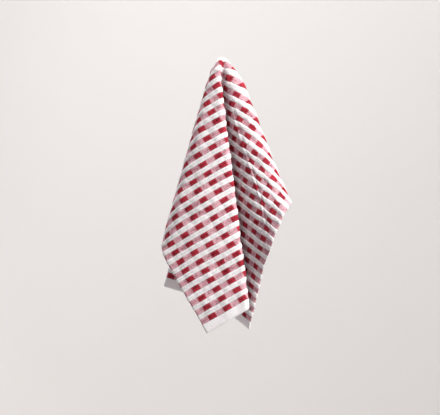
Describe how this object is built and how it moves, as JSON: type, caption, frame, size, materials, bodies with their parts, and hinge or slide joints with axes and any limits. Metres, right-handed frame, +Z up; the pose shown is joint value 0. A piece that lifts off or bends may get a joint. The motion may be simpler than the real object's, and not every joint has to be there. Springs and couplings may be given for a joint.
{
  "type": "dish cloth",
  "caption": "Square woven cotton dish cloth with a red and pink check, hanging in folds from a point near one hem, as from a small wall hook.",
  "frame": {"origin": "on top of the hook that holds the cloth, where it meets the underside of the cloth's peak", "axes": "+Z up, -Y towards the viewer and away from the wall, +X to the viewer's right"},
  "size_m": [0.1334, 0.0845, 0.2829],
  "materials": {
    "woven_cotton": "matte, puffy weave"
  },
  "bodies": {
    "root": {"dish_cloth": "woven_cotton"}
  },
  "joints": []
}
